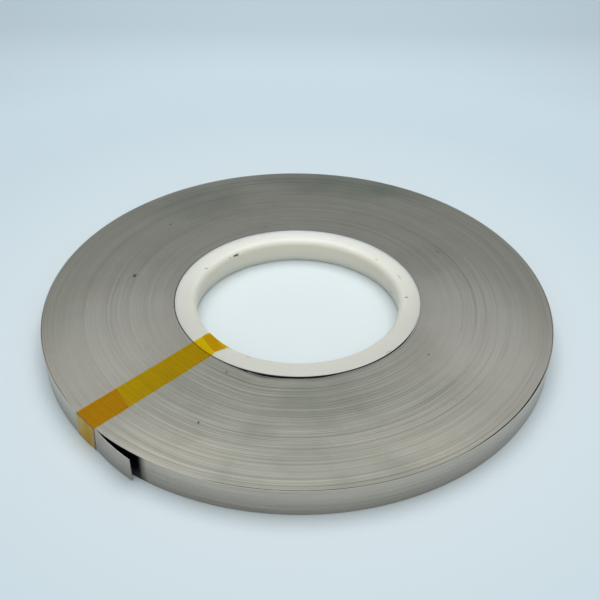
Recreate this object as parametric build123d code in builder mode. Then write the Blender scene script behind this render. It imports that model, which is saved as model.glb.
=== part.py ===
from build123d import *
from math import cos, degrees, radians, sin
import os

os.makedirs("parts", exist_ok=True)

# Strip, wound on edge into a flat coil whose turns lie a little higher or lower, in groups
strip_width = 10.0
strip_thickness = 0.2
coil_radius = 90.0
edge_stagger = 0.15  # from the lowest turns to the highest
turn_groups = 7  # counted along the radius
group_unevenness = 0.6  # how much the groups differ in width, as a share of a group
scatter_angle = radians(100)  # its multiples scatter the groups' widths and heights

# Free tail at the outer end of the strip. Angles run anticlockwise from +X, seen from above.
tail_angle = 228.5
tail_length = 16.6
tail_lean = 0.6  # degrees that it leaves the coil by
tail_bend_radius = 400.0  # it springs outwards along this arc

# Core ring that the first turn is wound on
core_bore_radius = 36.0
core_wall = 7.6
core_bore_round = 2.2
core_foot_chamfer = 1.2
winding_clearance = 0.4
inner_end_angle = 249.0  # where the strip's first turn starts

# Amber tape. Its frame has x along the tape, towards the coil's axis, and y across it, to the left.
tape_width = 9.5
tape_thickness = 0.08
tape_heading = 45.9
tape_side_offset = 1.1  # from the coil's axis to the tape's middle line
tape_edge_setback = 0.15  # from the coil's outer edge to the end of the tape across the top
tape_foot_gap = 0.5  # from that tape's other end to the chamfer at the foot of the bore
outer_lap = 13.8  # how far the wrapping tape comes in over the top, along its middle line
outer_lap_slant = 2.2  # how much further in its left corner comes than its right
inner_lap = 4.9  # how far its other end comes out over the core, from the bore's wall
inner_lap_slant = 1.8  # how much further out its right corner comes than its left
nick_start = 8.2  # nick in the tapes' right edge over the core, from the bore's wall
nick_point = 5.7
nick_end = 1.4
nick_depth = 1.4

# Heights. The tape under the coil touches the ground. The core and the lowest turns lie on it.
coil_bottom = tape_thickness
strip_bottom = coil_bottom + edge_stagger  # of the highest turns, at the bore and at the outside
coil_top = strip_bottom + strip_width
core_radius = core_bore_radius + core_wall
coil_bore_radius = core_radius + winding_clearance
turn_count = (coil_radius - coil_bore_radius) / strip_thickness
tape_left = tape_side_offset + tape_width / 2
tape_right = tape_side_offset - tape_width / 2
tape_plane = Plane(
    origin=(0, 0, 0),
    x_dir=(cos(radians(tape_heading)), sin(radians(tape_heading)), 0),
    z_dir=(0, 0, 1),
)


def point_at(angle, radius):
    """The point of the ground plane at this angle and radius."""
    return Vector(radius * cos(radians(angle)), radius * sin(radians(angle)), 0)


def turn_outline(angle, start_radius, end_radius):
    """One turn of a spiral as two half circles, whose middles lie to each side of the axis."""
    middle_radius = (start_radius + end_radius) / 2
    first_middle = point_at(angle, (start_radius - middle_radius) / 2)
    second_middle = point_at(angle, (end_radius - middle_radius) / 2)
    CenterArc(first_middle, (start_radius + middle_radius) / 2, angle, 180)
    CenterArc(second_middle, (end_radius + middle_radius) / 2, angle + 180, 180)


def group_edge(group):
    """The radius at which a group of turns begins: a whole number of turns from the bore."""
    uneven_group = group + group_unevenness * sin(group * scatter_angle) / 2
    turns_inside = round(turn_count * uneven_group / turn_groups)
    return coil_bore_radius + turns_inside * strip_thickness


def group_drop(group):
    """How far a group of turns lies below the highest ones."""
    return edge_stagger * (1 - cos(group * scatter_angle)) / 2


def tape_bed(under):
    """What a tape lies on: the section of coil and core, with a first layer as thick as under."""
    bore_side = core_bore_radius - under
    outline = Polyline(
        (bore_side, coil_bottom + core_foot_chamfer),
        (bore_side + core_foot_chamfer, coil_bottom),
        (coil_radius, coil_bottom),
        (coil_radius, coil_top + under),
        (bore_side, coil_top + under),
        close=True,
    )
    fillet(outline.vertices().group_by(Axis.X)[0].sort_by(Axis.Y)[-1], radius=core_bore_round + under)


# The strip: a spiral outline that ends in the tail, round a spiral bore
with BuildPart() as nickel_strip:
    with BuildSketch(Plane.XY.offset(strip_bottom)):
        with BuildLine():
            turn_outline(tail_angle, coil_radius - strip_thickness, coil_radius)
            leaving = Vector(1, 0, 0).rotate(Axis.Z, tail_angle + 90 - tail_lean)
            tail_outside = JernArc(
                start=point_at(tail_angle, coil_radius),
                tangent=leaving,
                radius=tail_bend_radius,
                arc_size=-degrees(tail_length / tail_bend_radius),
            )
            to_coil = (tail_outside % 1).rotate(Axis.Z, 90)
            tail_inner_corner = tail_outside @ 1 + to_coil * strip_thickness
            Line(tail_outside @ 1, tail_inner_corner)
            TangentArc(
                point_at(tail_angle, coil_radius - strip_thickness),
                tail_inner_corner,
                tangent=leaving,
            )
        make_face()
        with BuildLine():
            turn_outline(inner_end_angle, coil_bore_radius, coil_bore_radius + strip_thickness)
            Line(
                point_at(inner_end_angle, coil_bore_radius + strip_thickness),
                point_at(inner_end_angle, coil_bore_radius),
            )
        make_face(mode=Mode.SUBTRACT)
    extrude(amount=strip_width)
    # The groups between the first and the last lie lower: cut off above, and as much added below
    for end_height, end_mode in ((coil_top, Mode.SUBTRACT), (strip_bottom, Mode.ADD)):
        with BuildSketch(Plane.XZ):
            for group in range(1, turn_groups - 1):
                with Locations((group_edge(group), end_height)):
                    Rectangle(
                        group_edge(group + 1) - group_edge(group),
                        group_drop(group),
                        align=(Align.MIN, Align.MAX),
                    )
        revolve(axis=Axis.Z, mode=end_mode)

# The core: a moulded ring, with its bore well rounded above and chamfered at the foot
with BuildPart() as core_ring:
    with BuildSketch(Plane.XZ) as core_section:
        with Locations((core_bore_radius, coil_bottom)):
            Rectangle(core_wall, coil_top - coil_bottom, align=(Align.MIN, Align.MIN))
        fillet(core_section.vertices().group_by(Axis.X)[0].sort_by(Axis.Y)[-1], radius=core_bore_round)
        chamfer(core_section.vertices().group_by(Axis.X)[0].sort_by(Axis.Y)[0], length=core_foot_chamfer)
    revolve(axis=Axis.Z)

# The stretch of the section that the tapes cover, and the nick in their right edge, seen from above
with BuildSketch(tape_plane) as tape_strip:
    with Locations((-coil_radius, tape_side_offset)):
        Rectangle(2 * coil_radius - core_bore_radius, tape_width)
with BuildSketch(tape_plane.offset(coil_top - core_bore_round)) as tape_nick:
    with BuildLine():
        Polyline(
            (-core_bore_radius - nick_start, tape_right),
            (-core_bore_radius - nick_point, tape_right + nick_depth),
            (-core_bore_radius - nick_end, tape_right),
            close=True,
        )
    make_face()

# The tape across the top: from the coil's outer edge to the core, then round into the bore
with BuildPart() as tape_top_strip:
    with BuildSketch(Plane.XZ):
        with BuildLine() as bed:
            tape_bed(under=0)
        make_face()
        offset(amount=tape_thickness, kind=Kind.ARC)
        make_face(bed.edges(), mode=Mode.SUBTRACT)
        top_strip_foot = coil_bottom + core_foot_chamfer + tape_foot_gap
        with Locations((0, top_strip_foot)):
            Rectangle(
                coil_radius - tape_edge_setback,
                2 * strip_width,
                align=(Align.MIN, Align.MIN),
                mode=Mode.INTERSECT,
            )
    revolve(axis=Axis.Z)
    extrude(tape_strip.sketch, amount=2 * strip_width, mode=Mode.INTERSECT)
    extrude(tape_nick.sketch, amount=strip_width, mode=Mode.SUBTRACT)

# The tape round the coil: over the first one's outer end, down the side, under the coil, up the
# bore and over the core, with a gap between its own two ends
with BuildPart() as tape_wrap:
    with BuildSketch(Plane.XZ):
        with BuildLine() as bed:
            tape_bed(under=tape_thickness)
        make_face()
        offset(amount=tape_thickness, kind=Kind.ARC)
        make_face(bed.edges(), mode=Mode.SUBTRACT)
    revolve(axis=Axis.Z)
    extrude(tape_strip.sketch, amount=2 * strip_width, mode=Mode.INTERSECT)
    extrude(tape_nick.sketch, amount=strip_width, mode=Mode.SUBTRACT)
    with BuildSketch(tape_plane.offset(coil_top)):
        with BuildLine():
            Polyline(
                (outer_lap - coil_radius + outer_lap_slant / 2, tape_left),
                (outer_lap - coil_radius - outer_lap_slant / 2, tape_right),
                (-core_bore_radius - inner_lap - inner_lap_slant / 2, tape_right),
                (-core_bore_radius - inner_lap + inner_lap_slant / 2, tape_left),
                close=True,
            )
        make_face()
    extrude(amount=strip_width, mode=Mode.SUBTRACT)

nickel_strip.part.label = "nickel_strip"
core_ring.part.label = "core_ring"
tape_top_strip.part.label = "tape_top_strip"
tape_wrap.part.label = "tape_wrap"
export_step(nickel_strip.part, "parts/nickel_strip.step")
export_step(core_ring.part, "parts/core_ring.step")
export_step(tape_top_strip.part, "parts/tape_top_strip.step")
export_step(tape_wrap.part, "parts/tape_wrap.step")
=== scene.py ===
import math

import bpy
import numpy as np
from mathutils import Matrix, Vector


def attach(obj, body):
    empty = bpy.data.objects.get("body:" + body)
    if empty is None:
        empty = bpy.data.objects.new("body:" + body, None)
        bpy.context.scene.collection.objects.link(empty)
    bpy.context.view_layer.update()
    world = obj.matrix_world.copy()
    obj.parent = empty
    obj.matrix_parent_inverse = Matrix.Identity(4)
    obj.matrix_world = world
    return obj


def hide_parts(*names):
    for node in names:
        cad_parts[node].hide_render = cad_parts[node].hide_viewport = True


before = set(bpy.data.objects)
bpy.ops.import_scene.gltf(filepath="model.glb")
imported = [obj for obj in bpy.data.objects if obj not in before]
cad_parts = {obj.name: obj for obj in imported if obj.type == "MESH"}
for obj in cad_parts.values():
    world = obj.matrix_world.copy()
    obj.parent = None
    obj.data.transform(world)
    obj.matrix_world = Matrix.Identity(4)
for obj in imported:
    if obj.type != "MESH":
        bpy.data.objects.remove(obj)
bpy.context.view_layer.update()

scene = bpy.context.scene
tolerance = 1e-6  # mm, for comparing lengths


def mm(value):
    return value / 1000


def linearColour(hexColour):
    # sRGB hex to linear: below 0.04045 a straight line, above it the 2.4 power curve
    parts = [int(hexColour[i:i + 2], 16) / 255 for i in (1, 3, 5)]
    return [p / 12.92 if p <= 0.04045 else ((p + 0.055) / 1.055) ** 2.4 for p in parts] + [1.0]


def addNode(tree, kind, inputs=None, stops=None, **settings):
    # one node with its settings: an input that is given an output socket gets a link, a hex
    # colour is turned linear, and stops are the places and colours of a colour ramp
    made = tree.nodes.new(kind)
    for name, value in settings.items():
        setattr(made, name, value)
    for name, value in (inputs or {}).items():
        if isinstance(value, bpy.types.NodeSocket):
            tree.links.new(value, made.inputs[name])
        else:
            value = linearColour(value) if isinstance(value, str) else value
            made.inputs[name].default_value = value
    if stops:
        ramp = made.color_ramp.elements
        while len(ramp) < len(stops):
            ramp.new(0.5)
        for element, (place, colour) in zip(ramp, stops):
            element.position = place
            element.color = linearColour(colour)
    return made


def newMaterial(name):
    made = bpy.data.materials.new(name)
    made.use_nodes = True
    made.node_tree.nodes.clear()
    return made, made.node_tree


# Camera, at the photograph's viewing angle. Lengths in mm, angles in degrees.
view = {
    "place": (0.80, -241.226, 192.734),
    "pitch": 37.45,  # how far it looks down
    "roll": 0.689,
    "lens": 50.32,
    "nearest": 10,
}


def addCamera():
    # columns of the turn: the picture's right, its up, the way back to the viewer, and the place
    pitch, roll = math.radians(view["pitch"]), math.radians(view["roll"])
    forward = np.array([0, math.cos(pitch), -math.sin(pitch)])
    level, up = np.array([1.0, 0, 0]), np.array([0, math.sin(pitch), math.cos(pitch)])
    right = math.cos(roll) * level + math.sin(roll) * up
    upward = math.cos(roll) * up - math.sin(roll) * level
    turn = np.eye(4)
    turn[:3] = np.stack([right, upward, -forward, mm(np.array(view["place"]))], 1)
    data = bpy.data.cameras.new("camera")
    data.lens = view["lens"]
    data.clip_start = mm(view["nearest"])
    made = bpy.data.objects.new("camera", data)
    made.matrix_world = Matrix(turn.tolist())
    scene.collection.objects.link(made)
    scene.camera = made


addCamera()
print("camera placed")


def meshPiece(name, points, faces, materials, faceMaterials=None, uv=None):
    # quads from arrays: points is (n, 3) in millimetres, faces (m, 4), uv (m, 4, 2)
    mesh = bpy.data.meshes.new(name)
    mesh.vertices.add(len(points))
    mesh.vertices.foreach_set("co", mm(points).astype(np.float32).ravel())
    mesh.loops.add(faces.size)
    mesh.loops.foreach_set("vertex_index", faces.astype(np.int32).ravel())
    mesh.polygons.add(len(faces))
    mesh.polygons.foreach_set("loop_start", np.arange(0, faces.size, 4, dtype=np.int32))
    for material in materials:
        mesh.materials.append(material)
    if faceMaterials is not None:
        mesh.polygons.foreach_set("material_index", faceMaterials.astype(np.int32))
    mesh.update(calc_edges=True)
    if uv is not None:
        layer = mesh.uv_layers.new(name="OFBake")
        layer.uv.foreach_set("vector", uv.astype(np.float32).ravel())
    mesh.shade_smooth()
    made = bpy.data.objects.new(name, mesh)
    scene.collection.objects.link(made)
    return made


def markSharp(piece, sharpPair):
    # edges for which sharpPair of their two vertex numbers is true keep a crisp corner
    mesh = piece.data
    ends = np.zeros(len(mesh.edges) * 2, np.int32)
    mesh.edges.foreach_get("vertices", ends)
    attribute = mesh.attributes.new("sharp_edge", "BOOLEAN", "EDGE")
    attribute.data.foreach_set("value", sharpPair(ends[::2], ends[1::2]))


def addFloat(piece, name, values):
    attribute = piece.data.attributes.new(name, "FLOAT", "POINT")
    attribute.data.foreach_set("value", values.astype(np.float32).ravel())


def dress(piece, nodes):
    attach(piece, "root")
    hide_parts(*nodes)


# What the materials of strip and core share

def spotMask(tree, place, spots):
    # The strongest of several soft ellipsoids. Each has its full strength out to 0.3 of its half
    # axes and falls smoothly to 0 at their ends. A spot is its middle and half axes in mm, its turn
    # about +Z in degrees, and its strength.
    total = None
    for middle, half, turn, strength in spots:
        local = addNode(tree, "ShaderNodeMapping",
                        {"Vector": place, "Location": [mm(value) for value in middle],
                         "Rotation": (0, 0, math.radians(turn)),
                         "Scale": [mm(value) for value in half]},
                        vector_type="TEXTURE").outputs["Vector"]
        away = addNode(tree, "ShaderNodeVectorMath", {0: local},
                       operation="LENGTH").outputs["Value"]
        spot = addNode(tree, "ShaderNodeMapRange",
                       {"Value": away, "From Min": 1.0, "From Max": 0.3, "To Max": strength},
                       interpolation_type="SMOOTHSTEP").outputs["Result"]
        if total is not None:
            spot = addNode(tree, "ShaderNodeMath", {0: total, 1: spot},
                           operation="MAXIMUM").outputs[0]
        total = spot
    return total


def roughened(tree, place, size, reach):
    # place moved about by noise, for ragged outlines: size and reach in mm
    noise = addNode(tree, "ShaderNodeTexNoise",
                    {"Vector": place, "Scale": 1000 / size, "Detail": 3.0}).outputs["Color"]
    centred = addNode(tree, "ShaderNodeVectorMath", {0: noise, 1: (0.5, 0.5, 0.5)},
                      operation="SUBTRACT").outputs["Vector"]
    return addNode(tree, "ShaderNodeVectorMath", {0: centred, 1: (mm(reach),) * 3, 2: place},
                   operation="MULTIPLY_ADD").outputs["Vector"]


slitEdge = {
    "dark": "#8c8a81",
    "light": "#b8b6ac",
    "bright": "#c4c2bb",
    "dullAndShaded": "#747a71",
    "fleck": "#4b4a44",
    "rust": "#9a7a6c",
    "roughness": 0.42,
    "dullRoughness": 0.54,
    "blotch": 16.0,  # mm across
    "blotchStrength": 0.25,
    "areaRagged": (12, 12),  # size and reach of the raggedness of areas, in mm
    "speckRagged": (1.2, 0.7),
    # duller areas: rougher, and with darker reflections painted into their colour
    "dullAndShadedAreas": [
        ((-2.0, -52.0, 10.2), (58.0, 34.0, 30.0), 0, 0.42),
        ((46.0, 24.0, 10.2), (12.0, 16.0, 30.0), 25, 0.3),
        ((2.0, -82.0, 10.2), (52.0, 22.0, 30.0), 0, 0.34),
        ((-40.0, 64.0, 10.2), (30.0, 16.0, 30.0), 30, 0.5),
        ((20.0, 80.0, 10.2), (60.0, 16.0, 30.0), -12, 0.6),
    ],
    # areas of painted sheen: lighter at both sides, where the edges catch more reflected light
    "sheenAreas": [
        ((63.0, -17.0, 10.2), (30.0, 48.0, 30.0), 16, 0.5),
        ((-63.0, -22.0, 10.2), (28.0, 44.0, 30.0), -16, 0.4),
    ],
    "flecks": [
        ((-60.7, 10.9, 10.2), (0.9, 1.5, 3.0), 0, 0.9),
        ((-52.0, 46.3, 10.2), (0.7, 0.8, 3.0), 0, 0.7),
        ((-22.5, -41.6, 10.2), (0.5, 0.6, 3.0), 0, 0.9),
        ((-29.2, -64.0, 10.2), (0.6, 0.9, 3.0), 0, 0.9),
        ((43.5, -31.7, 10.2), (0.6, 0.6, 3.0), 0, 0.7),
    ],
    "rusted": [
        ((54.0, 29.2, 10.2), (1.1, 1.0, 3.0), 0, 0.8),
    ],
}


def makeSlitEdge():
    # The slit edges of nickel strip, sheared and rubbed on the guides: satin, each turn a shade
    # lighter or darker than the next. Colour is a ramp over the turns' tone, then towards the dull
    # colour in cloudy patches and in the duller areas, which are rougher too and have painted
    # darker reflections, then towards the bright one in the areas of painted sheen at both sides,
    # then small flecks of dirt and one of rust.
    material, tree = newMaterial("slit_edge_of_nickel_strip")
    place = addNode(tree, "ShaderNodeTexCoord").outputs["Object"]
    tone = addNode(tree, "ShaderNodeAttribute", attribute_name="tone").outputs["Fac"]
    colour = addNode(tree, "ShaderNodeValToRGB", {"Fac": tone},
                     stops=[(0.0, slitEdge["dark"]), (1.0, slitEdge["light"])]).outputs["Color"]
    clouds = addNode(tree, "ShaderNodeTexNoise",
                     {"Vector": place, "Scale": 1000 / slitEdge["blotch"], "Detail": 4.0,
                      "Roughness": 0.55}).outputs["Fac"]
    cloudy = addNode(tree, "ShaderNodeMapRange",
                     {"Value": clouds, "From Min": 0.45, "From Max": 0.75,
                      "To Max": slitEdge["blotchStrength"]}).outputs["Result"]
    ragged = roughened(tree, place, *slitEdge["areaRagged"])
    dullAndShadedAreas = spotMask(tree, ragged, slitEdge["dullAndShadedAreas"])
    dullnessAndShade = addNode(tree, "ShaderNodeMath", {0: cloudy, 1: dullAndShadedAreas}, operation="ADD",
                       use_clamp=True).outputs[0]
    sheenAreas = spotMask(tree, ragged, slitEdge["sheenAreas"])
    speckled = roughened(tree, place, *slitEdge["speckRagged"])
    flecks = spotMask(tree, speckled, slitEdge["flecks"])
    rusted = spotMask(tree, speckled, slitEdge["rusted"])
    # darker in cloudy patches and painted dark reflections, lighter in painted sheen, then dirt,
    # rust
    for share, towards in ((dullnessAndShade, "dullAndShaded"), (sheenAreas, "bright"), (flecks, "fleck"),
                           (rusted, "rust")):
        colour = addNode(tree, "ShaderNodeMix", {0: share, 6: colour, 7: slitEdge[towards]},
                         data_type="RGBA").outputs[2]
    rough = addNode(tree, "ShaderNodeMapRange",
                    {"Value": dullnessAndShade, "To Min": slitEdge["roughness"],
                     "To Max": slitEdge["dullRoughness"]}).outputs["Result"]
    metal = addNode(tree, "ShaderNodeBsdfPrincipled",
                    {"Base Color": colour, "Metallic": 1.0, "Roughness": rough})
    addNode(tree, "ShaderNodeOutputMaterial", {"Surface": metal.outputs[0]})
    return material


rolledFace = {
    "base": "#c5bcb0",
    "worn": "#b5aca2",
    # colour that the painted shade darkens towards
    "shade": "#16161a",
    "roughness": (0.26, 0.36),  # in the worn lines and between them
    "lines": 0.35,  # mm from a light line to a dark one; the real ones are finer
    "lineLength": 50,  # times as long as they are wide
    "lineDepth": 0.02,  # mm
}


def makeRolledFace():
    # The wide face of cold rolled nickel strip: bright satin, with faint lines along its length.
    # The attribute shade is painted shade: it darkens the face in the gaps, behind the tail and on
    # the tail's own back, and towards its lower edge, as a painted reflection of the shadow at the
    # foot.
    material, tree = newMaterial("rolled_face_of_nickel_strip")
    place = addNode(tree, "ShaderNodeTexCoord").outputs["Object"]
    stretch = 1 / rolledFace["lineLength"]
    along = addNode(tree, "ShaderNodeMapping",
                    {"Vector": place, "Scale": (stretch, stretch, 1.0)}).outputs["Vector"]
    lines = addNode(tree, "ShaderNodeTexNoise",
                    {"Vector": along, "Scale": 1000 / (2 * rolledFace["lines"]),
                     "Detail": 3.0}).outputs["Fac"]
    worn, between = 0.3, 0.7  # of the noise
    colour = addNode(tree, "ShaderNodeValToRGB", {"Fac": lines},
                     stops=[(worn, rolledFace["worn"]), (between, rolledFace["base"])])
    shade = addNode(tree, "ShaderNodeAttribute", attribute_name="shade").outputs["Fac"]
    colour = addNode(tree, "ShaderNodeMix",
                     {0: shade, 6: colour.outputs["Color"], 7: rolledFace["shade"]},
                     data_type="RGBA").outputs[2]
    rough = addNode(tree, "ShaderNodeMapRange",
                    {"Value": lines, "From Min": worn, "From Max": between,
                     "To Min": rolledFace["roughness"][0],
                     "To Max": rolledFace["roughness"][1]}).outputs["Result"]
    bump = addNode(tree, "ShaderNodeBump",
                   {"Height": lines, "Strength": 0.15,
                    "Distance": mm(rolledFace["lineDepth"])}).outputs["Normal"]
    metal = addNode(tree, "ShaderNodeBsdfPrincipled",
                    {"Base Color": colour, "Metallic": 1.0, "Roughness": rough, "Normal": bump})
    addNode(tree, "ShaderNodeOutputMaterial", {"Surface": metal.outputs[0]})
    return material


slitEdgeNickel = makeSlitEdge()
rolledNickel = makeRolledFace()

# The wound strip, as one spiral of real turns. Lengths are in mm, and angles in degrees,
# anticlockwise from +X.
coil = {
    "width": 10.0,
    "thickness": 0.19,  # the rest of the 0.2 mm from turn to turn is the air between them
    "pitch": 0.2,
    "outerRadius": 89.98,
    "startAngle": 249.0,
    "endAngle": 228.5,
    "turns": 229,
    "steps": 192,  # sections for each turn
    "groups": 7,
    "groupUnevenness": 0.6,
    "scatterAngle": 100,
    "stagger": 0.15,
    "lowest": 0.08,
    "seamAngle": 225.9,  # the pieces meet here, under the tape
    "seamTurns": (80, 155, 228),
    "seed": 11,
}
core = {
    "radius": 43.6,
    "boreRadius": 36.0,
    "boreRound": 2.2,
    "footTaper": (1.25, 5.0),  # the wall leans out to the foot: across and up
    "footShape": ((0, 1), (0.9, 0.1), (0.97, 0.03), (1.05, 0)),  # points of it, as shares of both
    "footChamfer": 1.2,  # of the way that the tape takes round the foot
    "headSupport": 1.5,  # below the rounding, where a row of points keeps the wall straight
    "edgeRound": 0.15,
    "oval": 0.48,  # how much wider than round it is across the picture
    "bottom": 0.08,
    "top": 10.215,
    "steps": 256,
}


def ovalAt(angle):
    # the ring is pressed a little oval: the cosine of twice the angle, times the oval
    return core["oval"] * np.cos(2 * angle)


def wander(t, span, waves, seed):
    # A smooth random function of t, the length in turns: a sum of waves round the coil whose
    # amplitudes are random at every span turns, straight in between. It has about unit spread.
    random = np.random.default_rng(seed)
    knots = np.arange(0, t.max() + 2 * span, span)
    total = np.interp(t, knots, random.normal(size=len(knots)))
    for wave in range(1, waves + 1):
        for swing in (np.cos, np.sin):
            amplitude = np.interp(t, knots, random.normal(size=len(knots)))
            total = total + amplitude * swing(2 * math.pi * wave * t)
    return total / math.sqrt(1 + waves)


def wanders(t, layers, seed):
    # the sum of several, each with its strength, span and waves, and with the next seed
    return sum(strength * wander(t, span, waves, seed + index)
               for index, (strength, span, waves) in enumerate(layers))


def bump01(x, start, end, soft):
    # 1 between start and end, falling smoothly to 0 over soft on either side
    rise = np.clip((x - start) / soft + 1, 0, 1)
    fall = np.clip((end - x) / soft + 1, 0, 1)
    both = np.minimum(rise, fall)
    return both * both * (3 - 2 * both)


def onArc(degrees, amount, start, end, soft):
    # amount times bump01 round the coil, where 360 degrees is 0 again
    return amount * bump01((degrees - start + 180) % 360, 180, 180 + end - start, soft)


def ringArc(degrees, start, end):
    # 1 on a ring or groove that fades in and out over 12 degrees at its ends
    fade = 12
    return onArc(degrees, 1, start + fade, end - fade, fade)


# The air between the turns, in mm. An arc is an amount, or a share for evenArc and pressedArc, with
# its start, end and softness in degrees. A stretch of turns is its start, end and softness.
gaps = {
    "wander": [(0.8, 1.0, 3), (0.1, 5.0, 2)],  # of the gap's logarithm
    "limit": 4.5,  # times the middle one
    # the outer turns lie more evenly at the front
    "evenArc": (0.7, 238, 300, 16),
    "evenTurns": (2.5, 16, 4),  # counted back from the end
    # the first turns stand loose from each other
    "innerEnd": 0.32,
    "innerEndTurns": (0, 0.015, 0.035),
    "innerTurns": [
        ((0.10, 252, 300, 20), (1, 1.6, 0.2)),
        ((0.10, 285, 330, 20), (2, 2.6, 0.3)),
    ],
    # the last turn but one stands a little inside the last, except where the tape presses them on
    "last": 0.03,
    "lastArcs": [(0.09, 190, 213, 8), (0.30, 312, 326, 12), (0.10, 330, 360, 12),
                 (0.13, 258, 300, 8)],
    "lastTurns": (1.0, 2.0, 0.06),
    "pressedArc": (0.8, 222, 250, 5),
    # the first turn stands off the core, furthest at the front and less beside that
    "core": 0.08,
    "coreStartArc": (0.16, 243, 262, 6),
    "coreWidest": 1.1,
    "coreWidestArc": (1, 257, 278, 14),
    "coreAfterArc": (0.55, 278, 320, 20),
    # gaps that show as dark rings: radius, where each starts and ends, width
    "openRings": [
        (60.7, 62, 172, 0.07),
        (60.2, 95, 150, 0.04),
        (65.7, 70, 118, 0.05),
        (68.5, 78, 108, 0.04),
        (66.5, 338, 372, 0.05),
        (63.0, 335, 378, 0.05),
        (64.2, 172, 205, 0.04),
        (67.4, 170, 198, 0.04),
    ],
    # thin ones at the front, and what their radius, start, end and width are drawn from
    "fineRings": 60,
    "fineRanges": [(46, 88.5), (232, 282), (298, 358), (0.012, 0.042)],
}


def looseGaps(t, degrees, fromEnd):
    # what is added to the gaps, in mm: the loose first turns, the last turn and the dark rings
    loose = gaps["innerEnd"] * bump01(t, *gaps["innerEndTurns"])
    for arc, stretch in gaps["innerTurns"]:
        loose = loose + onArc(degrees, *arc) * bump01(t, *stretch)
    lastGap = gaps["last"] + sum(onArc(degrees, *arc) for arc in gaps["lastArcs"])
    lastGap = lastGap * (1 - onArc(degrees, *gaps["pressedArc"]))
    loose = loose + lastGap * bump01(fromEnd, *gaps["lastTurns"])
    random = np.random.default_rng(coil["seed"] + 7)
    fine = [[random.uniform(*span) for span in gaps["fineRanges"]]
            for ring in range(gaps["fineRings"])]
    for radius, start, end, width in gaps["openRings"] + fine:
        turn = round((radius - core["radius"]) / coil["pitch"])
        loose = loose + width * ringArc(degrees, start, end) * (np.floor(t + 0.5) == turn)
    return loose


def spiralSamples():
    # Turn k at step j has t = k + j / steps. The distance to the next turn outwards is the
    # thickness plus a gap, a smooth function of t, so each radius is the sum of those below it.
    steps, turns = coil["steps"], coil["turns"]
    step = np.arange(steps)
    t = np.arange(turns + 1)[:, None] + step[None, :] / steps
    degrees = (coil["startAngle"] + 360 * t) % 360
    angle = np.radians(coil["startAngle"]) + 2 * math.pi * t
    endT = round((turns - (coil["startAngle"] - coil["endAngle"]) / 360) * steps) / steps
    fromEnd = endT - t
    even = onArc(degrees, *gaps["evenArc"]) * bump01(fromEnd, *gaps["evenTurns"])
    rawGap = np.exp(wanders(t, gaps["wander"], coil["seed"]))
    rawGap = np.minimum(rawGap, gaps["limit"]) ** (1 - even)
    loose = looseGaps(t, degrees, fromEnd)
    # the last turn follows two half circles, so that it keeps to the coil's outline
    lastTurn = np.floor(endT - step / steps).astype(int)
    below = np.arange(turns + 1)[:, None] < lastTurn[None, :]
    around = 1 - (endT - lastTurn - step / steps)
    halves = np.floor(2 * around)
    inside = 1 - (halves + (1 - np.cos(2 * math.pi * (around - halves / 2))) / 2) / 2
    wanted = coil["outerRadius"] - coil["thickness"] - coil["pitch"] * inside
    widest = onArc(degrees[0], *gaps["coreWidestArc"])
    coreGap = (gaps["core"] + onArc(degrees[0], *gaps["coreStartArc"]) + gaps["coreWidest"] * widest
               + onArc(degrees[0], *gaps["coreAfterArc"]) * (1 - widest))
    hug = core["radius"] + ovalAt(angle[0]) + coreGap

    def gapFactor(first):
        # what the raw gaps are multiplied by, so that they fill the room up to the last turn
        room = wanted - first - coil["thickness"] * lastTurn - (loose * below).sum(0)
        return room / (rawGap * below).sum(0)

    # the first turn hugs the core, and climbs to the second one's radius as a sixth power
    firstGap = coil["thickness"] + rawGap[0, 0] * gapFactor(hug)[0] + loose[0, 0]
    first = hug + firstGap * (step / steps) ** 6
    spacing = coil["thickness"] + rawGap * gapFactor(first)[None, :] + loose
    radius = first[None, :] + np.concatenate([np.zeros((1, steps)), np.cumsum(spacing, 0)[:-1]])
    gap = spacing[:-1] - coil["thickness"]
    print("gaps between turns, mm:", *(kind(gap).round(4) for kind in (np.min, np.median, np.max)))
    angle = angle.ravel()
    return {"t": t.ravel(), "angle": angle, "degrees": np.degrees(angle) % 360,
            "radius": radius.ravel(), "endT": endT}


# How far the turns lie below the highest, in mm
sinking = {
    "groupShare": 0.7,  # of each group's drop
    "least": 0.025,
    "blend": 6,  # turns over which a group passes into the next
    "wander": [(0.006, 0.9, 3), (0.006, 2.6, 3), (0.006, 7.0, 2)],
    "lastTurn": 0.03,
    "lastTurnBlend": 0.02,  # of a turn
    "range": (0.01, 0.15),
    "grooveReach": 0.35,
    # turns that lie low beside a higher one: radius of the step, where it starts and ends, depth
    "grooves": [
        (60.8, 62, 172, 0.10),
        (65.8, 74, 120, 0.05),
        (68.6, 78, 110, 0.05),
        (66.5, 336, 376, 0.05),
        (63.0, 334, 380, 0.05),
        (64.3, 168, 205, 0.05),
        (67.4, 170, 200, 0.04),
    ],
}


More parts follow.
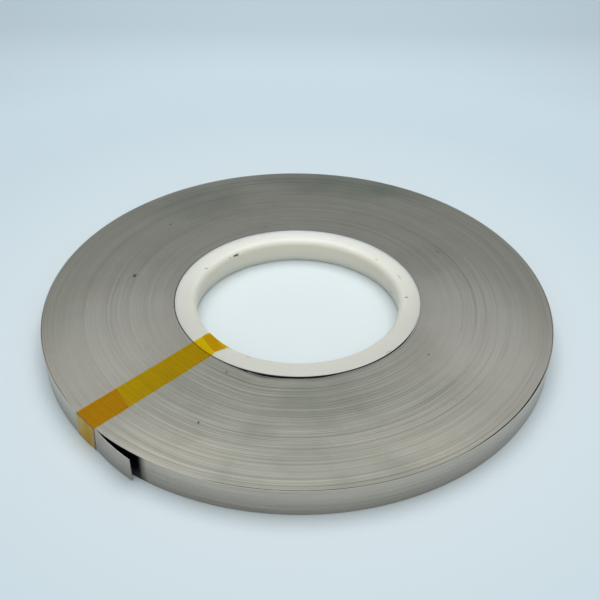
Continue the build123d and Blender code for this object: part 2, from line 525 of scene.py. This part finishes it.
def lowerEdges(spiral):
    # Height of each turn's lower edge: the highest less a drop, which is its group's, passing into
    # the next group's, and its own wandering, and the grooves, which fade inwards exponentially.
    t = spiral["t"]
    groups = np.arange(coil["groups"] + 1)
    turn = math.radians(coil["scatterAngle"])
    uneven = groups + coil["groupUnevenness"] / 2 * np.sin(groups * turn)
    edges = (coil["turns"] + 1) * uneven / coil["groups"]
    edges[-1] = np.inf
    drops = coil["stagger"] * (1 - np.cos(groups * turn)) / 2
    drops[coil["groups"] - 1:] = 0
    group = np.searchsorted(edges, t, side="right") - 1
    into = np.clip((t - edges[group]) / sinking["blend"], 0, 1)
    before = drops[np.maximum(group - 1, 0)]
    drop = before + (drops[group] - before) * into
    own = wanders(t, sinking["wander"], coil["seed"] + 40)
    drop = drop * sinking["groupShare"] + sinking["least"] + own
    for middle, start, end, depth in sinking["grooves"]:
        inwards = middle - spiral["radius"]
        drop = drop + (depth * ringArc(spiral["degrees"], start, end) * (inwards > 0)
                       * np.exp(-inwards / sinking["grooveReach"]))
    lastTurn = np.clip((t - (spiral["endT"] - 1.0)) / sinking["lastTurnBlend"], 0, 1)
    drop = drop + lastTurn * (sinking["lastTurn"] - drop)
    return coil["lowest"] + coil["stagger"] - np.clip(drop, *sinking["range"])


# How light or dark the turns' edges are, from 0 to 1
tones = {
    "middle": 0.5,
    "lines": [(0.26, 0.5, 4), (0.02, 2.4, 4)],
    "bands": [(0.03, 9.0, 3)],
    "seed": 91,
    # strength of the lines: everywhere, more at the front but for the outer turns, at both sides
    "strength": 0.35,
    "frontArc": (1.1, 246, 300, 26),
    "outerLess": 0.5,
    "outerRadii": (78, 92, 8),
    "sideArcs": [
        ((0.5, 350, 375, 15), (60, 70, 4)),
        ((0.5, 172, 198, 15), (61, 70, 4)),
    ],
}


def turnTones(spiral):
    # the middle tone plus fine lines times their strength, plus broad bands
    t, degrees, radius = spiral["t"], spiral["degrees"], spiral["radius"]
    outer = tones["outerLess"] * bump01(radius, *tones["outerRadii"])
    strength = tones["strength"] + onArc(degrees, *tones["frontArc"]) * (1 - outer)
    for arc, radii in tones["sideArcs"]:
        strength = strength + onArc(degrees, *arc) * bump01(radius, *radii)
    lines = wanders(t, tones["lines"], tones["seed"]) * strength
    bands = wanders(t, tones["bands"], tones["seed"] + len(tones["lines"]))
    return np.clip(tones["middle"] + lines + bands, 0, 1)


# Painted shade on the rolled faces, from 0 to 1: strengths on arcs, for outer faces that look
# into a gap
shades = {
    "insideLastTurn": [(0.95, 308, 342, 14), (0.6, 192, 216, 5), (0.9, 256, 296, 6)],
    # painted shade and reflection behind the tail, where the coil's face looks at the tail's back
    "behindTail": (0.97, 229.2, 239.5, 1.2),
    # painted reflection of the shadow at the coil's foot, darkest at the lower edge
    "lowerEdgeShade": 0.22,  # at the lower edge of every outer face
    # painted shade on the tail, darkest on its back
    "tail": (0.9, 0.3, 0.1, 0.9),  # at its corners: inner and outer below, outer and inner above
}

# Bands of the map for the lower edge, outer face, upper edge and inner face of a piece
mapBands = {
    "turns": [(0.46, 0.62), (0.64, 0.80), (0.0, 0.45), (0.82, 0.98)],
    "lastTurn": [(0.0, 0.08), (0.3, 1.0), (0.1, 0.2), (0.22, 0.28)],
    "margin": 0.04,  # share of a row
    "ends": (0.98, 0.985, 0.01),  # place and side of the square for both end faces
}


def stripMap(count, columns, bands):
    # Map of a strip's quads, of which there are so many columns to a row, and both end faces'.
    rows, width = math.ceil((count - 1) / columns), 1 / columns
    row, column = np.divmod(np.arange(count - 1), columns)
    left, margin = column * width, mapBands["margin"]
    maps = []
    for bottom, top in bands:
        lower = bottom + (top - bottom) * (row + margin) / rows
        upper = bottom + (top - bottom) * (row + 1 - margin) / rows
        corners = [(left, lower), (left + width, lower), (left + width, upper), (left, upper)]
        maps.append(np.stack([np.stack(corner, 1) for corner in corners], 1))
    x, y, side = mapBands["ends"]
    square = np.array([[0, 0], [1, 0], [1, 1], [0, 1]]) * side + [x, y]
    return np.concatenate([np.stack(maps, 1).reshape(-1, 4, 2), square[None], square[None]])


def stripPiece(name, spiral, first, last, tail=None):
    # The strip from one sample to another: at each, the four corners of its section, joined along
    # the length, with an end face at both ends.
    t, angle, radius, low, tone = (spiral[part][first:last + 1]
                                   for part in ("t", "angle", "radius", "low", "tone"))
    radii = np.stack([radius, radius + coil["thickness"]], 1)[:, [0, 1, 1, 0]]
    heights = np.stack([low, low + coil["width"]], 1)[:, [0, 0, 1, 1]]
    points = np.stack([radii * np.cos(angle)[:, None], radii * np.sin(angle)[:, None], heights], 2)
    if tail is not None:
        points = np.concatenate([points, tail])
        tone = np.concatenate([tone, np.full(len(tail), tone[-1])])
    count = len(points)
    here = 4 * np.arange(count - 1)[:, None]
    there, corner, nextCorner = here + 4, np.arange(4), np.roll(np.arange(4), -1)
    sides = np.stack([here + corner, there + corner, there + nextCorner, here + nextCorner], 2)
    ends = np.array([[0, 1, 2, 3], 4 * count - 1 - np.arange(4)])
    kinds = np.concatenate([np.tile([0, 1, 0, 1], count - 1), [0, 0]])
    # one row of the map for each turn, or for the whole of the last piece
    if tail is None:
        uv = stripMap(count, coil["steps"], mapBands["turns"])
    else:
        uv = stripMap(count, count - 1, mapBands["lastTurn"])
    faces = np.concatenate([sides.reshape(-1, 4), ends])
    piece = meshPiece(name, points.reshape(-1, 3), faces, [slitEdgeNickel, rolledNickel], kinds, uv)

    def isCorner(a, b):
        # the four edges along the length, and those round both end faces
        atEnd = (a < 4) | (a >= 4 * count - 4)
        return (a % 4 == b % 4) | (a // 4 == b // 4) & atEnd

    markSharp(piece, isCorner)
    addFloat(piece, "tone", np.repeat(tone, 4))
    # painted shade where the last turn stands off the one inside it, or in the piece's first
    # quarter turn, where the tail does
    degrees = np.degrees(np.concatenate([angle, np.full(count - len(angle), angle[-1])])) % 360
    if tail is None:
        fromEnd = spiral["endT"] - t
        behind = (sum(onArc(degrees, *arc) for arc in shades["insideLastTurn"])
                  * (fromEnd > 0.99) * (fromEnd < 2.0))
    else:
        behind = onArc(degrees, *shades["behindTail"]) * (np.arange(count) < coil["steps"] / 4)
    shade = np.minimum(behind, 1)[:, None] * np.array([0, 1, 1, 0])
    # painted reflection of the shadow at the coil's foot: darker towards the lower edge
    shade[:, 1] = np.maximum(shade[:, 1], shades["lowerEdgeShade"])
    if tail is not None:
        # painted shade on the tail, darkest on its back, which faces the coil
        shade[len(angle):] = shades["tail"]
    addFloat(piece, "shade", shade)
    dress(piece, ["nickel_strip"])
    print(name, "triangles", 2 * len(piece.data.polygons))


tailPart = {
    "length": 16.95,
    "lean": 8.4,  # degrees that it leaves the coil by
    "bendRadius": -84.0,  # below zero it curves the way the coil does
    "twist": (-0.31, 1.0),  # how far its end's lower corner lies from under the upper one, x and y
    "twistPower": 1.3,
    "steps": 24,
}


def tailSections(low):
    # Sections along an arc that leaves the coil: heading falls by the length over the bend radius.
    # The lower corners are carried sideways by the twist times a power of the share of the length.
    s = np.linspace(0, tailPart["length"], tailPart["steps"] + 1)[1:]
    start = math.radians(coil["endAngle"] + 90 - tailPart["lean"])
    heading = start - s / tailPart["bendRadius"]
    r = tailPart["bendRadius"]
    endAngle = math.radians(coil["endAngle"])
    x = coil["outerRadius"] * math.cos(endAngle) + r * (np.sin(start) - np.sin(heading))
    y = coil["outerRadius"] * math.sin(endAngle) + r * (np.cos(heading) - np.cos(start))
    inX = x - coil["thickness"] * np.sin(heading)
    inY = y + coil["thickness"] * np.cos(heading)
    share = (s / tailPart["length"]) ** tailPart["twistPower"]
    twistX, twistY = (share * value for value in tailPart["twist"])
    bottom, top = np.full(len(s), low), np.full(len(s), low + coil["width"])
    corners = [(inX + twistX, inY + twistY, bottom), (x + twistX, y + twistY, bottom),
               (x, y, top), (inX, inY, top)]
    return np.stack([np.stack(corner, 1) for corner in corners], 1)


def windStrip():
    # all samples of the spiral, and the pieces of strip between its seams
    spiral = spiralSamples()
    spiral["low"] = lowerEdges(spiral)
    spiral["tone"] = turnTones(spiral)
    underTape = (coil["seamAngle"] - coil["startAngle"]) / 360
    seams = [turn + underTape for turn in coil["seamTurns"]]
    cuts = [round(place * coil["steps"]) for place in [0, *seams, spiral["endT"]]]
    inner, middle, outer, end = zip(cuts[:-1], cuts[1:])
    stripPiece("strip_inner_turns", spiral, *inner)
    stripPiece("strip_middle_turns", spiral, *middle)
    stripPiece("strip_outer_turns", spiral, *outer)
    stripPiece("strip_last_turn", spiral, *end, tailSections(spiral["low"][end[1]]))
    return spiral


spiral = windStrip()
print("strip wound")


# Core ring
corePlastic = {
    "base": "#ebebe2",
    # painted shade: the near side greyer, as the light falls from behind
    "nearSideShade": "#cdcdc4",  # greyer at the near side
    "nearSideShadeReach": 38,  # mm along y to either side of the axis, from none of it to all
    # painted shade: warmer and darker down the bore's wall
    "boreWallShade": "#d5d1c3",  # down the bore's wall
    "boreWallShadeHeights": (10.2, 7.5),  # mm, where it begins and is at its strongest
    "boreWallShadeStrength": 0.9,
    "mottle": 14,  # mm across
    "mottleStrength": 0.3,
    "roughness": 0.45,
    "ior": 1.59,
    # painted shade: the outer wall dark, so that the gap beside it shows black
    "shadedOuterWall": "#1e1e1b",
    "mark": "#1f1f1b",
    "markRagged": (1.0, 0.9),
    # rub marks
    "marks": [
        ((-24.2, 26.9, 8.8), (1.9, 0.5, 0.9), 43, 0.95),
        ((-26.6, 24.9, 8.6), (1.0, 0.4, 0.8), 30, 0.6),
        ((-34.5, 15.9, 10.2), (1.0, 0.35, 1.0), 30, 0.8),
        ((34.65, 10.3, 3.9), (0.8, 1.6, 1.1), 15, 0.9),
        ((39.1, -0.6, 10.2), (0.8, 0.7, 1.0), 0, 0.6),
        ((30.4, -30.6, 10.2), (1.6, 0.3, 1.0), 40, 0.5),
        ((-16.2, -34.0, 10.2), (1.1, 0.3, 1.0), -25, 0.35),
        ((29.9, 23.2, 9.9), (1.2, 0.4, 1.0), -50, 0.4),
        ((37.6, 12.0, 10.0), (0.5, 2.2, 1.0), 20, 0.3),
    ],
}


def makeCorePlastic():
    # Injection moulded polystyrene, off-white and satin: colour is a ramp over the place along y
    # plus a faint mottle, with painted shade that makes it greyer towards the near side, then
    # painted shade that makes it warmer and darker down the bore's wall, with a few black rub
    # marks. Light goes a little way into it.
    material, tree = newMaterial("moulded_polystyrene_core")
    place = addNode(tree, "ShaderNodeTexCoord").outputs["Object"]
    mottle = addNode(tree, "ShaderNodeTexNoise",
                     {"Vector": place, "Scale": 1000 / corePlastic["mottle"],
                      "Detail": 3.0}).outputs["Fac"]
    xyz = addNode(tree, "ShaderNodeSeparateXYZ", {0: place})
    far = mm(corePlastic["nearSideShadeReach"])
    near = addNode(tree, "ShaderNodeMapRange",
                   {"Value": xyz.outputs["Y"], "From Min": far, "From Max": -far}).outputs["Result"]
    grey = addNode(tree, "ShaderNodeMath", {0: mottle, 1: corePlastic["mottleStrength"], 2: near},
                   operation="MULTIPLY_ADD").outputs[0]
    colour = addNode(tree, "ShaderNodeValToRGB", {"Fac": grey},
                     stops=[(0.15, corePlastic["base"]),
                            (0.85, corePlastic["nearSideShade"])]).outputs["Color"]
    # painted shade down the bore's wall, by height
    begin, full = corePlastic["boreWallShadeHeights"]
    down = addNode(tree, "ShaderNodeMapRange",
                   {"Value": xyz.outputs["Z"], "From Min": mm(begin), "From Max": mm(full),
                    "To Max": corePlastic["boreWallShadeStrength"]},
                   interpolation_type="SMOOTHSTEP").outputs["Result"]
    ragged = roughened(tree, place, *corePlastic["markRagged"])
    marks = spotMask(tree, ragged, corePlastic["marks"])
    for share, towards in ((down, "boreWallShade"), (marks, "mark")):
        colour = addNode(tree, "ShaderNodeMix", {0: share, 6: colour, 7: corePlastic[towards]},
                         data_type="RGBA").outputs[2]
    plastic = addNode(tree, "ShaderNodeBsdfPrincipled",
                      {"Base Color": colour, "Roughness": corePlastic["roughness"],
                       "IOR": corePlastic["ior"], "Subsurface Weight": 0.9,
                       "Subsurface Radius": (1.0, 0.9, 0.7), "Subsurface Scale": mm(6)})
    addNode(tree, "ShaderNodeOutputMaterial", {"Surface": plastic.outputs[0]})
    return material


def makeShadedOuterWall():
    # the outer wall of the core, which the strip is wound on: painted shade, dark so that the gap
    # beside it shows black
    material, tree = newMaterial("outer_wall_painted_shade_polystyrene")
    plastic = addNode(tree, "ShaderNodeBsdfPrincipled",
                      {"Base Color": corePlastic["shadedOuterWall"], "Roughness": 0.6,
                       "IOR": corePlastic["ior"]})
    addNode(tree, "ShaderNodeOutputMaterial", {"Surface": plastic.outputs[0]})
    return material


def roundCorner(middle, radius, start, end, count):
    # points of a circle from one angle to another, in a section
    turn = np.radians(np.linspace(start, end, count))
    return np.stack([middle[0] + radius * np.cos(turn), middle[1] + radius * np.sin(turn)], 1)


def makeCore():
    # The ring's section, carried round the axis. Going round the section anticlockwise: tapered
    # foot of the bore, outer corners, rounded head of the bore, and its wall a little below.
    bore, outside, low, high = core["boreRadius"], core["radius"], core["bottom"], core["top"]
    edge, head = core["edgeRound"], core["boreRound"]
    section = np.concatenate([
        [bore, low] + np.array(core["footShape"]) * core["footTaper"],
        roundCorner((outside - edge, low + edge), edge, 270, 360, 5),
        roundCorner((outside - edge, high - edge), edge, 0, 90, 5),
        roundCorner((bore + head, high - head), head, 90, 180, 12),
        [[bore, high - head - core["headSupport"]]],
    ])
    steps = core["steps"]
    angle = np.arange(steps) * 2 * math.pi / steps
    r = section[None, :, 0] + ovalAt(angle)[:, None]
    points = np.stack([r * np.cos(angle)[:, None], r * np.sin(angle)[:, None],
                       np.broadcast_to(section[None, :, 1], r.shape)], 2)
    count = len(section)
    i, j = np.meshgrid(np.arange(steps), np.arange(count), indexing="ij")
    corners = [(i, j), (i + 1, j), (i + 1, j + 1), (i, j + 1)]
    faces = np.stack([a % steps * count + b % count for a, b in corners], 2)
    following = np.roll(section, -1, 0)
    around = np.linalg.norm(following - section, axis=1)
    v = np.concatenate([[0], np.cumsum(around)]) / around.sum()
    u = np.arange(steps + 1) / steps
    uv = np.stack([np.stack([u[a], v[b]], 2) for a, b in corners], 2)
    outerWall = np.minimum(section, following)[:, 0] > outside - tolerance
    # the outer wall gets the second material, dark with painted shade
    kinds = np.tile(outerWall.astype(int), steps)
    piece = meshPiece("core_ring_moulding", points.reshape(-1, 3), faces.reshape(-1, 4),
                      [makeCorePlastic(), makeShadedOuterWall()], kinds, uv.reshape(-1, 4, 2))
    dress(piece, ["core_ring"])


makeCore()
print("core made")

# Amber tape. Its frame has u along the tape, towards the coil's axis, and v across it, to the left.
tape = {
    "heading": 46.5,
    "left": 6.77,
    "right": -2.73,
    "thickness": 0.08,
    "edgeSetback": 0.15,
    "outerLap": 13.8,
    "outerSlant": 2.2,
    "innerLap": 4.9,
    "innerSlant": 1.8,
    "footGap": 0.5,
    # right edge over the core: distances out from the bore's wall, and how far to the left it lies
    "nickPlaces": (0.0, 5.7, 8.2),
    "nickDepths": (-1.1, 0.5, 0.0),
    "nickHeights": (2, 6),  # the nick fades out down the bore, from the second to the first
    "sideLean": 1.2,  # how far to the left the tape has moved at the foot of the coil's side
    "bend": 0.06,  # radius of its bends round the coil's outer edges
    "lift": 0.003,  # over the turns
    "layerGap": 0.004,
    "sidePress": 0.002,  # into the coil's outer radius, as its side is flat between sections
    "topSmoothing": (3, 9),  # turns to either side that count as near, and turns in the average
    "columns": 24,
}
film = {
    "body": "#d68600",
    "filter": "#fffb00",
    "haze": "#d4ac40",
    # colour of the painted shadow along the fold and the cut edge
    "edge": "#3a3114",
    "cover": 0.12,
    "hazeCover": 0.56,
    "edgeCover": 0.75,
    "roughness": 0.2,
    "ior": 1.7,
    # haze down the coil's side: mean, swing and wave, in radians over the width and for each mm up
    "hazeMean": 0.72,
    "hazeSwing": 0.28,
    "hazeWave": (7, 0.12),
    # where the painted shadow lies: down from the fold, and in columns at the cut edge
    "foldDepth": 0.35,  # mm that the dark fold reaches down the side
    "cutEdge": 1.2,  # columns that look dark at the right
}


def makeFilm():
    # Polyimide film with a clear silicone adhesive: an amber filter that scatters a little light,
    # so it is paler on white than on metal and deeper where two layers lie on each other. The
    # attribute haze makes it cloudier and paler, where it doesn't quite touch what it is stuck to,
    # and the attribute edge paints shadow, dark along its fold and its cut edge where that stands
    # off.
    material, tree = newMaterial("amber_polyimide_film")
    haze = addNode(tree, "ShaderNodeAttribute", attribute_name="haze").outputs["Fac"]
    cover = addNode(tree, "ShaderNodeMapRange",
                    {"Value": haze, "To Min": film["cover"],
                     "To Max": film["hazeCover"]}).outputs["Result"]
    edge = addNode(tree, "ShaderNodeAttribute", attribute_name="edge").outputs["Fac"]
    cover = addNode(tree, "ShaderNodeMath", {0: edge, 1: film["edgeCover"], 2: cover},
                    operation="MULTIPLY_ADD", use_clamp=True).outputs[0]
    clear = addNode(tree, "ShaderNodeBsdfTransparent", {"Color": film["filter"]})
    colour = film["body"]
    for share, towards in ((haze, "haze"), (edge, "edge")):
        colour = addNode(tree, "ShaderNodeMix", {0: share, 6: colour, 7: film[towards]},
                         data_type="RGBA").outputs[2]
    body = addNode(tree, "ShaderNodeBsdfPrincipled",
                   {"Base Color": colour, "Roughness": film["roughness"], "IOR": film["ior"]})
    both = addNode(tree, "ShaderNodeMixShader", {0: cover, 1: clear.outputs[0], 2: body.outputs[0]})
    addNode(tree, "ShaderNodeOutputMaterial", {"Surface": both.outputs[0]})
    return material


amberFilm = makeFilm()


def coilTopAt(rho):
    # the highest of the turns near this radius at the tape's angle, and at least their average
    steps = coil["steps"]
    step = round((coil["seamAngle"] - coil["startAngle"]) / 360 % 1 * steps)
    here = np.arange(step, len(spiral["t"]), steps)
    here = here[spiral["t"][here] < spiral["endT"]]
    high = spiral["low"][here] + coil["width"]
    near, average = tape["topSmoothing"]
    high = np.max([np.roll(high, shift) for shift in range(-near, near + 1)], 0)
    padded = np.pad(high, average // 2, mode="edge")
    smooth = np.convolve(padded, np.ones(average) / average, mode="valid")
    radii = np.append(core["radius"], spiral["radius"][here])
    return np.interp(rho, radii, np.append(core["top"], np.maximum(smooth, high)))


def gridQuads(grid):
    # the four corners of each cell of a grid, in turn
    corners = np.stack([grid[:-1, :-1], grid[1:, :-1], grid[1:, 1:], grid[:-1, 1:]], 2)
    return corners.reshape(-1, 4, *grid.shape[2:])


def gridMap(rows, columns, left, right):
    # map of a grid's quads: columns from left to right, rows over the whole height
    u, v = np.meshgrid(np.linspace(left, right, columns), np.linspace(0.005, 0.995, rows))
    return gridQuads(np.stack([u, v], 2))


def closedSheet(name, lower, upper, haze=0, dark=0):
    # two grids of the same size, one above the other, joined round their edges to a closed sheet
    rows, columns = lower.shape[:2]
    points = np.concatenate([lower.reshape(-1, 3), upper.reshape(-1, 3)])
    number = np.arange(rows * columns).reshape(rows, columns)
    other = number + rows * columns

    def wall(a, b):
        return np.stack([a[:-1], a[1:], b[1:], b[:-1]], 1)

    faces = np.concatenate([
        gridQuads(number), gridQuads(other)[:, ::-1],
        wall(number[0], other[0]), wall(other[-1], number[-1]),
        wall(other[:, 0], number[:, 0]), wall(number[:, -1], other[:, -1]),
    ])
    # map: both faces side by side, then a narrow strip for each wall
    walls = [(columns, 0.83), (columns, 0.87), (rows, 0.91), (rows, 0.95)]
    faceMaps = [gridMap(rows, columns, 0.01, 0.40), gridMap(rows, columns, 0.42, 0.81)[:, ::-1]]
    uv = np.concatenate(faceMaps + [gridMap(count, 2, left, left + 0.02) for count, left in walls])
    piece = meshPiece(name, points, faces, [amberFilm], None, uv)
    edge = np.ones((rows, columns), bool)
    edge[1:-1, 1:-1] = False
    rim = np.tile(edge.ravel(), 2)
    markSharp(piece, lambda a, b: rim[a] & rim[b])
    for attribute, grid in (("haze", haze), ("edge", dark)):
        addFloat(piece, attribute, np.tile(np.broadcast_to(grid, edge.shape).ravel(), 2))
    return piece


def pathNormals(path):
    # left-hand normals of a section path, by central differences
    way = np.gradient(path, axis=0)
    way /= np.linalg.norm(way, axis=2, keepdims=True)
    return np.stack([-way[..., 1], way[..., 0]], 2)


def rightEdge(rho, z):
    # the tapes' right edge: straight, but for a nick over the core and a swing outwards at the bore
    nick = np.interp(rho - core["boreRadius"], tape["nickPlaces"], tape["nickDepths"])
    lowest, highest = tape["nickHeights"]
    return tape["right"] + nick * np.clip((z - lowest) / (highest - lowest), 0, 1)


def tapeGrids(path, lean=0):
    # Section points (rho, z) for each row and column, carried to world in two layers: at distance v
    # across the tape a point of radius rho lies sqrt(rho^2 - v^2) along it.
    rho, z = path[..., 0], path[..., 1]
    normal = pathNormals(path)
    right = rightEdge(rho, z)
    v = right + (tape["left"] - right) * np.linspace(0, 1, rho.shape[1])[None, :] + lean
    turn = math.radians(tape["heading"])
    layers = []
    for lift in (0.0, tape["thickness"]):
        r = rho + normal[..., 0] * lift
        height = z + normal[..., 1] * lift
        u = -np.sqrt(r * r - v * v)
        layers.append(np.stack([u * math.cos(turn) - v * math.sin(turn),
                                u * math.sin(turn) + v * math.cos(turn), height], 2))
    return layers


def runPoints(start, end, count):
    # count points along a straight run in the section, but not its end; columns may differ
    share = np.linspace(0, 1, count, endpoint=False)[:, None, None]
    return start[None] + (end - start)[None] * share


def arcPoints(middle, radius, start, end, count):
    # the same along a round run, alike in all columns
    arc = roundCorner(middle, radius, start, end, count + 1)[:-1]
    return np.repeat(arc[:, None], tape["columns"], 1)


def at(rho, z):
    # the section point of each column
    even = np.ones(tape["columns"])
    return np.stack([rho * even, z * even], 1)


def makeTopTape():
    # the tape across the top: from the bore over the rim and out to the coil's edge
    bore, head, top = core["boreRadius"], core["boreRound"], core["top"]
    foot = core["bottom"] + core["footChamfer"] + tape["footGap"]
    outerEnd = coil["outerRadius"] - tape["edgeSetback"]
    path = np.concatenate([
        runPoints(at(bore, foot), at(bore, top - head), 8),
        arcPoints((bore + head, top - head), head, 180, 90, 10),
        runPoints(at(bore + head, top), at(outerEnd, top), 140),
        at(outerEnd, top)[None],
    ])
    onTop = path[..., 1] >= top - tolerance
    path[..., 1] = np.where(onTop, coilTopAt(path[..., 0]) + tape["lift"], path[..., 1])
    piece = closedSheet("tape_across_top", *tapeGrids(path))
    dress(piece, ["tape_top_strip"])


def makeWrapTape():
    # the tape round the coil: in over the outer edge, down, under, up the bore and over the core
    bore, head, top, low = core["boreRadius"], core["boreRound"], core["top"], core["bottom"]
    layer = tape["thickness"] + tape["layerGap"]
    bend, foot = tape["bend"], core["footChamfer"]
    out, inner = coil["outerRadius"] - tape["sidePress"], bore - layer
    share = np.linspace(0, 1, tape["columns"])
    startRho = coil["outerRadius"] - tape["outerLap"] - tape["outerSlant"] * (share - 0.5)
    endRho = bore + tape["innerLap"] - tape["innerSlant"] * (share - 0.5)
    path = np.concatenate([
        runPoints(at(startRho, top + layer), at(out - bend, top + layer), 40),
        arcPoints((out - bend, top + layer - bend), bend, 90, 0, 6),
        runPoints(at(out, top + layer - bend), at(out, low + bend), 24),
        arcPoints((out - bend, low + bend), bend, 0, -90, 6),
        runPoints(at(out - bend, low), at(inner + foot, low), 30),
        runPoints(at(inner + foot, low), at(inner, low + foot), 6),
        runPoints(at(inner, low + foot), at(inner, top - head), 12),
        arcPoints((bore + head, top - head), head + layer, 180, 90, 12),
        runPoints(at(bore + head, top + layer), at(endRho, top + layer), 10),
        at(endRho, top + layer)[None],
    ])
    rho, z = path[..., 0], path[..., 1]
    overCoil = (z > top) & (rho > core["radius"]) & (rho < out - 2 * bend)
    path[..., 1] = np.where(overCoil, coilTopAt(rho) + layer + tape["lift"], z)
    down = np.clip((top - z) / (top - low), 0, 1)
    lean = tape["sideLean"] * down * (rho > out - 1)
    # cloudy down the coil's side, and painted shadow along the fold above it and the cut edge at
    # the right
    onSide = (rho > out - 0.5) & (z < top - 0.1)
    across = np.broadcast_to(share, onSide.shape)
    waveAcross, waveUp = film["hazeWave"]
    cloud = film["hazeMean"] + film["hazeSwing"] * np.cos(waveAcross * across + waveUp * z)
    fold = (rho > out - bend) & (z > top - film["foldDepth"])
    dark = fold | onSide & (across < film["cutEdge"] / tape["columns"])
    piece = closedSheet("tape_round_coil", *tapeGrids(path, lean), onSide * cloud, dark)
    dress(piece, ["tape_wrap"])


makeTopTape()
makeWrapTape()
print("tapes laid")

# Stage: a pale card that curves up behind, with a painted pool of light round the coil, a soft
# lamp above and a low one in front, and a surround that is brighter overhead than low down
stage = {
    # colour of the card by the distance from the axis, as a share of its reach in mm: a painted
    # pool of light, lightest near the axis
    "card": [(0.08, "#dfe9ed"), (0.42, "#c9d9e2"), (0.56, "#c9d9e2"), (0.85, "#bac9d3")],
    "lightPoolReach": 400,
    "front": -1500.0,
    "halfWidth": 2000.0,
    "bendStart": 216.0,
    "bendRadius": 45.0,
    "slope": 52.0,  # degrees that the card rises by behind the bend
    "slopeLength": 120.0,
    # height of the direction looked in, as its sine, and the colour of the surround there
    "surround": [(0.0, "#a3a6a8"), (0.3, "#727f7e"), (0.5, "#7b8584"), (0.75, "#d2d2d2"),
                 (1.0, "#d8dada")],
    "surroundStrength": 0.8,
    # place and size in metres, power in watts
    "lamps": [
        ("softbox_overhead", (0.02, 0.17, 0.90), (0.9, 0.7), 5.2),
        ("softbox_front", (0.0, -0.95, 0.50), (1.6, 0.8), 4.0),
    ],
}


def makeCard():
    # matt card, its path carried across: level, an arc, then a straight slope
    slope = math.radians(stage["slope"])
    bend = np.linspace(0, slope, 16)
    start, r = stage["bendStart"], stage["bendRadius"]
    curve = np.stack([start + r * np.sin(bend), r - r * np.cos(bend)], 1)
    top = curve[-1] + stage["slopeLength"] * np.array([math.cos(slope), math.sin(slope)])
    path = np.concatenate([[[stage["front"], 0], [0, 0]], curve, [top]])
    x = np.repeat([-stage["halfWidth"], stage["halfWidth"]], len(path))
    points = np.stack([x, np.tile(path[:, 0], 2), np.tile(path[:, 1], 2)], 1)
    n = np.arange(len(path) - 1)
    faces = np.stack([n, n + len(path), n + len(path) + 1, n + 1], 1)
    material, tree = newMaterial("matt_card")
    # colour by the distance from the axis: a painted pool of light
    place = addNode(tree, "ShaderNodeTexCoord").outputs["Object"]
    away = addNode(tree, "ShaderNodeVectorMath", {0: place}, operation="LENGTH").outputs["Value"]
    far = addNode(tree, "ShaderNodeMapRange",
                  {"Value": away, "From Max": mm(stage["lightPoolReach"])}).outputs["Result"]
    colour = addNode(tree, "ShaderNodeValToRGB", {"Fac": far}, stops=stage["card"]).outputs["Color"]
    card = addNode(tree, "ShaderNodeBsdfPrincipled",
                   {"Base Color": colour, "Roughness": 0.7, "Specular IOR Level": 0.2})
    addNode(tree, "ShaderNodeOutputMaterial", {"Surface": card.outputs[0]})
    floor = meshPiece("floor_card", points, faces, [material])


def makeSurround():
    # a ramp over the height of the direction looked in
    world = bpy.data.worlds.new("surround")
    world.use_nodes = True
    tree = world.node_tree
    tree.nodes.clear()
    direction = addNode(tree, "ShaderNodeTexCoord").outputs["Generated"]
    height = addNode(tree, "ShaderNodeSeparateXYZ", {0: direction}).outputs["Z"]
    colour = addNode(tree, "ShaderNodeValToRGB", {"Fac": height}, stops=stage["surround"])
    sky = addNode(tree, "ShaderNodeBackground",
                  {"Color": colour.outputs["Color"], "Strength": stage["surroundStrength"]})
    addNode(tree, "ShaderNodeOutputWorld", {"Surface": sky.outputs[0]})
    scene.world = world


def addLamps():
    # soft boxes that face the coil's foot
    for name, place, size, power in stage["lamps"]:
        lamp = bpy.data.lights.new(name, "AREA")
        lamp.shape = "RECTANGLE"
        lamp.size, lamp.size_y = size
        lamp.energy = power
        made = bpy.data.objects.new(name, lamp)
        made.location = place
        made.rotation_euler = Vector(place).to_track_quat("Z", "Y").to_euler()
        scene.collection.objects.link(made)


makeCard()
makeSurround()
addLamps()
scene.view_settings.view_transform = "Standard"
print("stage set")
